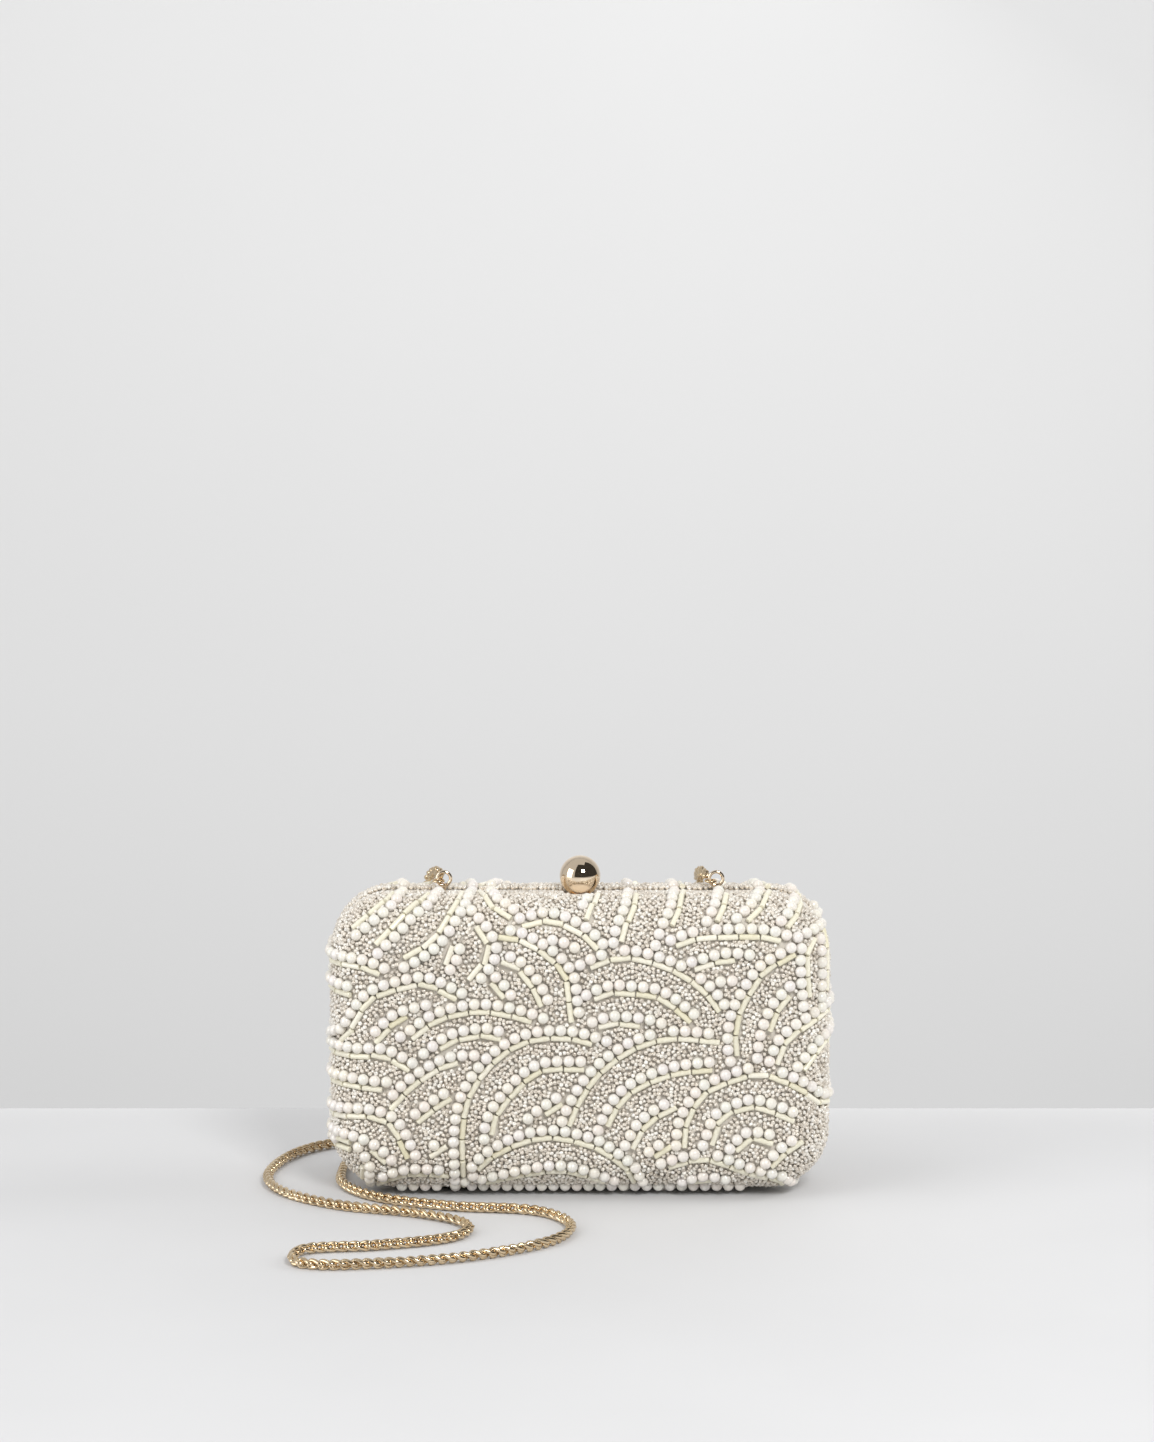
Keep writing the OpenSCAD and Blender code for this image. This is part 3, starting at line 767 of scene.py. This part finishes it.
PEARL_BEAD = turned_bead(whole_profile([
    (-PEARL_R * math.cos(a), PEARL_R * math.sin(a)) for a in np.radians([12, 24, 38, 53, 68, 83])
]), 20)
BUGLE_BEAD = turned_bead(whole_profile([
    (-BUGLE_LEN / 2, 0.45), (-BUGLE_LEN / 2, 0.78), (-BUGLE_LEN / 2 + 0.15, BUGLE_R),
]), 14)
SEED_BEAD = turned_bead(whole_profile([
    (-0.35, 0.2), (-0.52, 0.36), (-0.48, 0.58), (-0.22, SEED_R),
]), 8)


def make_beads(half, mirror, pearls, bugles, seeds, turns):
    """All the beads of one half, in pieces that ride on it and stand for its layer of beads."""
    flip = np.array([1, mirror, 1])

    def add(name, bead, places, ways, paint, smooth):
        piece = add_copies(f"{half}_{name}", bead, places * flip, ways, paint, smooth)
        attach(piece, f"{half}_half")

    pearl_turns = turns[:len(pearls)]
    for i in range(0, len(pearls), PEARLS_PER_PIECE):
        part = slice(i, i + PEARLS_PER_PIECE)
        add(f"pearls_{i // PEARLS_PER_PIECE + 1}", PEARL_BEAD, pearls[part], pearl_turns[part], PEARL,
            True)
    x = unit((bugles[:, 2] - bugles[:, 0]) * flip)
    y = unit(np.cross(x, [[0.3, 1, 0.2]]))
    ways = np.stack([x, y, np.cross(x, y)], 1)
    add("bugles", BUGLE_BEAD, bugles[:, 1], ways, BUGLE, False)
    for i in range(0, len(seeds), SEEDS_PER_PIECE):
        part = slice(i, i + SEEDS_PER_PIECE)
        add(f"seeds_{i // SEEDS_PER_PIECE + 1}", SEED_BEAD, seeds[part], turns[part], SEED_GLASS,
            True)
    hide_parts(f"{half}_beadwork")


def make_beadwork():
    rng = np.random.default_rng(SEED)
    pearls = pearl_places()
    bugles = bugle_places(pearls)
    seeds = seed_places(rng, pearls, bugles)
    print("pearls, bugles and seeds a half:", len(pearls), len(bugles), len(seeds))
    turns = random_turns(rng, len(seeds))
    make_beads("front", 1, pearls, bugles, seeds, turns)
    make_beads("back", -1, pearls, bugles, seeds, turns)


# ---- Cloth and lining ----

def outline(reach, per_side, per_corner):
    """Points round the inner box at this distance from it, the same number whatever the distance."""
    points = []
    signs = [(1, 1), (-1, 1), (-1, -1), (1, -1), (1, 1)]
    corners = [np.array([INNER_X * a, INNER_Z * b]) for a, b in signs]
    for turn, (corner, following) in enumerate(zip(corners, corners[1:])):
        for k in range(per_corner + 1):
            a = math.radians(90 * (turn + k / per_corner))
            points.append(corner + reach * np.array([math.cos(a), math.sin(a)]))
        a = math.radians(90 * (turn + 1))
        offset = reach * np.array([math.cos(a), math.sin(a)])
        steps = per_side[turn % 2]
        for k in range(1, steps):
            points.append(corner + offset + (following - corner) * k / steps)
    return np.array(points)


def layer_start(x, inset):
    """How far from the parting plane a layer of the back half starts along its top, by the clasp."""
    start = np.where(np.abs(x) < SLOT_HALF, SLOT_DEEP, LAYER_START)
    room = (BALL_R + CLOTH_ROOM) ** 2 - (BALL_PUSHED[2] - HEIGHT + inset) ** 2 - x**2
    hollow = BALL_PUSHED[1] + np.sqrt(np.maximum(room, 0))
    return np.where(room > 0, np.maximum(start, hollow), start)


def dome(inset, slotted, puff):
    """Rings of points over one front half's layer, from the middle of its face to its edge.

    puff gives how far each point stands out from the layer, from its place across, up and reach.
    """
    per_side = (84, 40)
    per_corner = 14
    radius = EDGE_R - inset
    rings = []
    for share in np.linspace(0.04, 1, 16):
        ring = outline(FLAT, per_side, per_corner) * share
        rings.append((ring, np.zeros(len(ring)), np.full(len(ring), -(HALF_D - inset))))
    for a in np.radians(np.linspace(0, 90, 14)[1:]):
        ring = outline(FLAT + radius * math.sin(a), per_side, per_corner)
        depth = HALF_D - EDGE_R + radius * math.cos(a)
        rings.append((ring, np.full(len(ring), a), np.full(len(ring), -depth)))
    for share in (0.4, 0.8, 1.0):
        ring = outline(FLAT + radius, per_side, per_corner)
        by_clasp = slotted & (ring[:, 1] > 0)
        start = np.where(by_clasp, layer_start(ring[:, 0], inset), LAYER_START)
        depth = (HALF_D - EDGE_R) * (1 - share) + start * share
        rings.append((ring, np.full(len(ring), math.pi / 2), -depth))
    points = []
    for ring, angle, y in rings:
        middle = np.clip(ring, [-INNER_X, -INNER_Z], [INNER_X, INNER_Z])
        outward = unit(ring - middle) * np.sin(angle)[:, None]
        normal = np.stack([outward[:, 0], -np.cos(angle), outward[:, 1]], -1)
        place = np.stack([ring[:, 0], y, ring[:, 1] + MID_Z], -1)
        points.append(place + normal * puff(place, angle)[:, None])
    return np.array(points)


def shell_between(name, outer, inner, mirror, paint):
    """A closed layer between two domes."""
    rows, columns, _ = outer.shape
    points = np.vstack([outer.reshape(-1, 3), inner.reshape(-1, 3)]) * [1, mirror, 1]
    shift = rows * columns
    faces = [face[::-1] for face in grid_faces(rows, columns, True)]
    faces += [[i + shift for i in face] for face in grid_faces(rows, columns, True)]
    faces.append(list(range(columns)))
    faces.append([i + shift for i in range(columns - 1, -1, -1)])
    last = (rows - 1) * columns
    for k in range(columns):
        a = last + k
        b = last + (k + 1) % columns
        faces.append([b, a, a + shift, b + shift])
    if mirror < 0:
        faces = [face[::-1] for face in faces]
    return add_mesh(name, points, np.concatenate(faces), [len(f) for f in faces], paint)


def flat_puff(place, angle):
    return np.zeros(len(place))


def padded_puff(place, angle):
    """How far the satin stands in over its padding: soft in the face, drawn in pleats at the corners."""
    x, z = place[:, 0], place[:, 2]
    past_x = np.abs(x) - INNER_X
    past_z = np.abs(z - MID_Z) - INNER_Z
    corner = np.clip(past_x + 8, 0, 14) * np.clip(past_z + 8, 0, 14)
    bearing = np.arctan2(past_z + 6, past_x + 6)
    pleats = 0.3 * np.sin(bearing * 26) * np.clip(corner / 90, 0, 1)
    swell = 0.25 * np.sin(x / 17 + 1) * np.sin(z / 13) + 0.12 * np.sin(x / 5 + z / 7)
    edge = np.clip((-place[:, 1] - LAYER_START) / 6, 0, 1)
    return -(0.25 + 0.2 * swell + pleats) * edge


def make_cloth(half, mirror):
    """The woven ground that the beads are sewn to."""
    slotted = half == "back"
    outer = dome(CLOTH_IN, slotted, flat_puff)
    inner = dome(CLOTH_IN + CLOTH_T, slotted, flat_puff)
    cloth = shell_between(f"{half}_woven_ground", outer, inner, mirror, GROUND)
    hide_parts(f"{half}_ground_cloth")
    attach(cloth, f"{half}_half")


def make_lining(half, mirror):
    """The padded satin that lines a half, pleated in its corners."""
    slotted = half == "back"
    outer = dome(LINING_IN, slotted, flat_puff)
    inner = dome(LINING_IN + LINING_T, slotted, padded_puff)
    lining = shell_between(f"{half}_satin_lining", outer, inner, mirror, SATIN)
    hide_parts(f"{half}_lining")
    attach(lining, f"{half}_half")


def make_pocket():
    """The satin slip pocket: a thin panel that bags a little, with a rolled hem along its top."""
    left, right = pocket_low.x / MM, pocket_high.x / MM
    low, high = pocket_low.z / MM, pocket_high.z / MM
    back = pocket_high.y / MM - 0.6
    columns, rows = 61, 33
    s = np.linspace(0, 1, columns)[None]
    t = np.linspace(0, 1, rows)[:, None]
    bag = np.sin(math.pi * s) ** 0.6 * np.minimum(1, 4 * t) * (0.7 + 0.5 * t)
    folds = 0.15 * np.sin(2 * math.pi * 9 * s + 1.3 * np.sin(5 * t)) * t**2 * np.sin(math.pi * s)
    across, up = np.broadcast_arrays(left + (right - left) * s, low + (high - low) * t)
    face = np.stack([across, back - 0.5 - 0.9 * bag - folds, up], -1)
    inner = face + [0, 0.45, 0]
    points = np.vstack([face.reshape(-1, 3), inner.reshape(-1, 3)])
    shift = rows * columns
    faces = grid_faces(rows, columns, False)
    faces += [[i + shift for i in quad[::-1]] for quad in grid_faces(rows, columns, False)]
    edge = (list(range(columns)) + [columns * (i + 1) - 1 for i in range(1, rows)]
            + [shift - 1 - i for i in range(1, columns)] + [columns * i for i in range(rows - 2, 0, -1)])
    for a, b in zip(edge, edge[1:] + edge[:1]):
        faces.append([b, a, a + shift, b + shift])
    panel = add_mesh("pocket_panel", points, np.concatenate(faces), [len(f) for f in faces], SATIN)
    sides = 8
    turn = 2 * math.pi * np.arange(sides) / sides
    middle = face[-1] + [0, 0.2, -0.3]
    ring = np.stack([0 * turn, 0.5 * np.cos(turn), 0.6 * np.sin(turn)], -1)
    hem_points = (middle[:, None] + ring[None]).reshape(-1, 3)
    hem_faces = grid_faces(columns, sides, True)
    hem_faces += [list(range(sides - 1, -1, -1)), list(range((columns - 1) * sides, columns * sides))]
    hem = add_mesh("pocket_hem", hem_points, np.concatenate(hem_faces), [len(f) for f in hem_faces], SATIN)
    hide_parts("slip_pocket")
    for piece in (panel, hem):
        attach(piece, "back_half")


# ---- Metal parts ----

def make_ball():
    """The mirror ball of the clasp, finer than its CAD node, with the bore for its stem."""
    bore = math.asin(0.7 / BALL_R)
    rings = np.linspace(bore, math.pi, 49)[:-1]
    profile = [(-BALL_R * math.cos(a), BALL_R * math.sin(a)) for a in rings]
    profile.append((BALL_R, 0.05))
    points, faces = turned_bead(profile, 72)
    points = np.stack([points[:, 1], points[:, 2], points[:, 0]], -1) + BALL
    ball = add_mesh("polished_ball", points, np.concatenate(faces), [len(f) for f in faces], GOLD_MIRROR)
    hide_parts("clasp_ball")
    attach(ball, "clasp")


def paint_nodes():
    """Better materials for the CAD nodes that keep their shape."""
    paints = {
        "gold_frame": GOLD_FRAME, "gold_mirror": GOLD_MIRROR, "gold_chain": GOLD_CHAIN,
        "steel": STEEL, "shell_board": BOARD, "satin": SATIN, "ground_cloth": GROUND,
        "pearl_beads": PEARL,
    }
    for subpart in frame["record"]["subparts"]:
        node = frame["nodes"][subpart["node"]]
        node.data.materials.clear()
        node.data.materials.append(paints[subpart["material_slot"]])


# ---- Table and light ----

def make_box(name, low, high, paint):
    x, y, z = zip(low, high)
    points = [(x[i], y[k], z[m]) for m in (0, 1) for i, k in ((0, 0), (1, 0), (1, 1), (0, 1))]
    faces = [[3, 2, 1, 0], [4, 5, 6, 7], [0, 1, 5, 4], [1, 2, 6, 5], [2, 3, 7, 6], [3, 0, 4, 7]]
    return add_mesh(name, points, np.concatenate(faces), [4] * 6, paint, smooth=False)


def make_stage():
    """The table, the wall behind it, and dark cards that only the mirror surfaces see."""
    table = make_box("table", (-1500, -1800, -40), (1500, 106, 0), table_paint())
    wall = make_box("wall", (-3000, 1500, -1500), (3000, 1520, 2500), wall_paint())
    dark = Paint("dark_card", (0.06, 0.055, 0.05), Roughness=0.9).material
    cards = [
        make_box("dark_card_front", (-1300, -2120, 100), (3000, -2100, 8000), dark),
        make_box("dark_card_right", (3000, -2120, 100), (3020, 1400, 8000), dark),
    ]
    for card in cards:
        card.visible_camera = False
        card.visible_diffuse = False
        card.visible_shadow = False


def add_light(name, place, toward, size, power, mirrored=True):
    """A soft box of this size in metres, aimed at a point; mirrored if shiny surfaces show it."""
    data = bpy.data.lights.new(name, "AREA")
    data.shape = "RECTANGLE"
    data.size, data.size_y = size
    data.energy = power
    light = bpy.data.objects.new(name, data)
    light.location = place
    light.visible_glossy = mirrored
    way = np.array(toward, float) - np.array(place, float)
    tilt = math.acos(-way[2] / np.linalg.norm(way))
    light.rotation_euler = (tilt, 0, math.atan2(-way[0], way[1]))
    bpy.context.scene.collection.objects.link(light)


def make_lights():
    bpy.context.scene.view_settings.view_transform = "Standard"
    world = bpy.data.worlds.new("studio")
    world.use_nodes = True
    sky = world.node_tree.nodes["Background"]
    sky.inputs["Color"].default_value = (1, 1, 1, 1)
    sky.inputs["Strength"].default_value = 0.55
    bpy.context.scene.world = world
    middle = (0, 0, 0.05)
    add_light("over", (-0.7, -0.3, 1.2), middle, (1.0, 0.8), 3.5, False)
    add_light("left", (-1.2, -0.6, 0.5), middle, (0.8, 1.0), 6.5)
    add_light("right", (1.2, 0.1, 0.6), middle, (0.6, 0.9), 6, False)
    add_light("key", (0.44, -1.14, 1.0), middle, (0.4, 0.4), 12)
    add_light("back", (0.5, 1.2, 0.8), middle, (1.2, 0.6), 4, False)
    add_light("wall_light", (0, 0.1, 0.5), (0, 1.5, 0.45), (2.2, 0.4), 7.5)


make_camera()
make_chain()
paint_nodes()
make_beadwork()
for half_name, side in (("front", 1), ("back", -1)):
    make_cloth(half_name, side)
    make_lining(half_name, side)
make_pocket()
make_ball()
make_stage()
make_lights()
